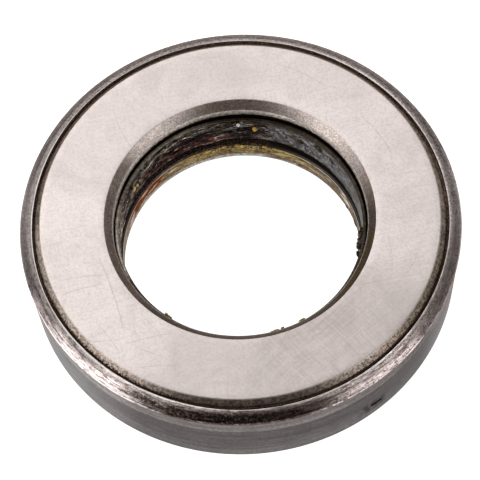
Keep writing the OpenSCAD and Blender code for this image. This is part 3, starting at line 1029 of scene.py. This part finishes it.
def film(name, body, slot, material, radius, z_range, deg_range, thickness, step=FILM_STEP):
    """A film on the inside of a bore. thickness(degrees, z) gives how far it stands in from the radius."""
    low, high = z_range
    first, last = deg_range
    rows = max(2, round((high - low) / step))
    columns = max(2, round(radians(last - first) * radius / step))
    points = []
    for inner in (True, False):
        for c in range(columns + 1):
            degrees = first + (last - first) * c / columns
            turn = radians(degrees)
            for row in range(rows + 1):
                z = low + (high - low) * row / rows
                edge = min(row, rows - row, c, columns - c) / 3
                stand = thickness(degrees, z) * smooth(edge, 0, 1) if inner else 0
                r = radius + 0.03 - stand
                points.append((r * cos(turn), r * sin(turn), z))
    n = rows + 1
    back = (columns + 1) * n
    faces = []
    for c in range(columns):
        for row in range(rows):
            k = c * n + row
            faces.append((k, k + 1, k + n + 1, k + n))
            faces.append((back + k, back + k + n, back + k + n + 1, back + k + 1))
    border = [c * n for c in range(columns)] + [columns * n + row for row in range(rows)]
    border += [c * n + rows for c in range(columns, 0, -1)] + list(range(rows, 0, -1))
    for k, m in zip(border, border[1:] + border[:1]):
        faces.append((k, m, back + m, back + k))
    return mesh_object(name, points, faces, body, slot, [material], sharp_deg=80)


def smear(degrees, z, length, height, seed, octaves=4, lean=0.12):
    """Noise from 0 to 1 for the thickness of a film, in streaks of about that length and height."""
    turned = radians(degrees) * RIM_R
    value = noise.fractal(Vector((turned / length, (z + lean * turned) / height, seed)), 0.9, 2.0, octaves)
    return smooth(value, -0.7, 0.7)


def lump(name, body, slot, material, radius, crumb, seed):
    """A crumb of grease, (degrees, height, size), with its middle at that radius."""
    degrees, z, size = crumb
    turn = radians(degrees)
    along = Vector((-sin(turn), cos(turn), 0))
    inward = Vector((-cos(turn), -sin(turn), 0))
    middle = Vector((radius * cos(turn), radius * sin(turn), z))
    ball = bmesh.new()
    bmesh.ops.create_icosphere(ball, subdivisions=4, radius=1)
    faces = [tuple(v.index for v in f.verts) for f in ball.faces]
    points = []
    for v in ball.verts:
        p = v.co * (1 + 0.45 * noise.fractal(v.co * 1.4 + Vector((seed, 0, 0)), 0.9, 2.0, 3))
        offset = along * p.x * size[0] + inward * p.y * size[1] + Vector((0, 0, p.z * size[2]))
        points.append(tuple(middle + offset))
    ball.free()
    return mesh_object(name, points, faces, body, slot, [material], sharp_deg=90)


def make_cage_grease(dark, olive, gold, white):
    """The thick old grease along the back and left of the cage's rim."""
    def thick(degrees, z):
        share = smooth(degrees, 66, 92) * smooth(degrees, 200, 176)
        broad = smear(degrees, z, 5.0, 1.8, 3, 3)
        ridges = smear(degrees, z, 2.2, 0.6, 9, 5)
        share *= 1 - 0.5 * smooth(degrees, 135, 165)
        return share * (0.04 + 0.50 * broad * (0.30 + 0.70 * ridges)) - 0.02

    heights = (RIM_FOOT_Z + 0.35, RIM_TOP_Z - 0.35)
    film("cage_grease", "cage", "cage_steel", dark, RIM_R, heights, (62, 206), thick)

    def flap(degrees, z):
        return 0.50 + 0.80 * smear(degrees, z, 0.9, 1.0, 21, 4) * smooth(z, 14.0, 10.0)

    film("cage_grease_flap", "cage", "cage_steel", dark, RIM_R, (8.3, 13.0), (345, 358), flap)
    for i, crumb in enumerate(RIM_LUMPS):
        lump(f"cage_grease_lump_{i + 1}", "cage", "cage_steel", olive, RIM_R - 0.02, crumb, 11 * i)
    for i, crumb in enumerate(GOLD_LUMPS):
        lump(f"cage_grease_bead_{i + 1}", "cage", "cage_steel", gold, RIM_R - 0.55, crumb, 5 * i + 2)
    # A white lump that stands for a glint: a painted highlight
    lump("cage_painted_glint_speck", "cage", "cage_steel", white, RIM_R - 0.5, PAINTED_GLINT_SPECK, 4)


def make_bore_grease(thin, gold):
    """The film in the lower race's bore, and the lumps pushed out along its edge."""
    def thick(degrees, z):
        lower = 1 - smooth(z, 2.8, 4.0)
        crust = smooth(degrees, 60, 75) * smooth(degrees, 116, 104) * smooth(z, 5.0, 5.6)
        broad = 0.05 * smear(degrees, z, 4.0, 1.0, 40)
        fine = 0.03 * lower * smear(degrees, z, 1.5, 0.8, 50)
        return 0.02 + broad + fine + 0.30 * crust * smear(degrees, z, 1.3, 0.8, 60)

    top = LOWER_TOP_Z - LOWER_TOP_CHAMFER + 0.02
    film("bore_grease", "root", "turned_steel", thin, LOWER_BORE_R, (2.1, top), (-12, 348), thick, 0.16)
    for i, crumb in enumerate(BORE_LUMPS):
        material = gold if crumb[0] > 60 else thin
        lump(f"bore_grease_lump_{i + 1}", "root", "turned_steel", material, LOWER_BORE_R, crumb, 7 * i + 3)


def make_balls(material):
    """The balls keep their CAD meshes and get a new material."""
    for name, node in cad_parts.items():
        if name.startswith("ball_"):
            node.data.materials.clear()
            node.data.materials.append(material)


# ---------------- studio

def studio(ground_light, sky_light, boxes):
    """Light from all around, brighter behind, and soft boxes. Each box is (azimuth, elevation, half width,
    half height, softness, strength), with the angles in degrees and the softness as a share."""
    world = bpy.data.worlds.new("studio")
    bpy.context.scene.world = world
    world.use_nodes = True
    n = Nodes(world.node_tree)
    sky = n.tree.nodes.new("ShaderNodeTexCoord").outputs["Generated"]
    total = n.fade(n.vector("DOT_PRODUCT", sky, (0, 1, 0)), *ground_light)
    for direction, inner, outer, strength in sky_light:
        toward = n.vector("DOT_PRODUCT", sky, Vector(direction).normalized())
        glow = n.fade(toward, cos(radians(outer)), cos(radians(inner)), 0.0, strength)
        total = n.add(total, glow)
    for azimuth, elevation, half_width, half_height, soft, strength in boxes:
        a = radians(azimuth)
        e = radians(elevation)
        front = Vector((cos(a) * cos(e), sin(a) * cos(e), sin(e)))
        side = Vector((-sin(a), cos(a), 0))
        ahead = n.most(n.vector("DOT_PRODUCT", sky, front), 0.01)
        glow = strength
        for axis, half in ((side, half_width), (front.cross(side), half_height)):
            off = n.math("ABSOLUTE", n.math("DIVIDE", n.vector("DOT_PRODUCT", sky, axis), ahead))
            size = tan(radians(half))
            glow = n.times(n.fade(off, size * (1 - soft), size * (1 + soft), 1.0, 0.0), glow)
        total = n.add(total, glow)
    background = n.tree.nodes["Background"]
    n.put(background.inputs["Strength"], total)
    n.put(background.inputs["Color"], (1, 0.985, 0.975))


def lay_floor():
    """A plain floor, a tenth of a millimetre under the base."""
    mesh = bpy.data.meshes.new("floor")
    half = 1.5
    corners = [(-half, -half, 0), (half, -half, 0), (half, half, 0), (-half, half, 0)]
    mesh.from_pydata(corners, [], [(0, 1, 2, 3)])
    floor = add_object("floor", mesh)
    floor.location.z = -0.0001
    mesh.materials.append(floor_material())


# ---------------- build

place_camera()
bpy.context.scene.view_settings.view_transform = "Standard"
make_upper_race([ground_steel(), bore_chamfer_steel(), shoulder_steel(), bore_steel()])
make_lower_race([lower_steel()])
make_shell([lip_steel(), wall_steel()])
make_cage(rim_steel())
make_balls(ball_steel())
olive_grease = grease("olive_grease", (0.95, 0.75, 0.32), (0.45, 0.32, 0.12), (0.95, 0.80, 0.40))
gold_grease = grease("gold_grease", (1.0, 0.60, 0.08), (0.62, 0.36, 0.05), (1.0, 0.78, 0.28), 0.6)
# White grease for the lump that is a painted glint
painted_glint_grease = grease("painted_glint_grease", (0.98, 0.97, 0.94), (0.85, 0.83, 0.80), (1.0, 1.0, 1.0), 0.8)
make_cage_grease(cage_grease(), olive_grease, gold_grease, painted_glint_grease)
make_bore_grease(lower_film(), gold_grease)
studio((-0.75, -0.1, 0.05, 0.26),
       [((-0.35, 0.62, 0.70), 8, 42, 1.45), ((0.45, 0.45, 0.77), 5, 34, 0.2)],
       [(-158, 34, 14, 23, 0.25, 2.2), (-33, 37, 14, 22, 0.3, 1.7)])
lay_floor()
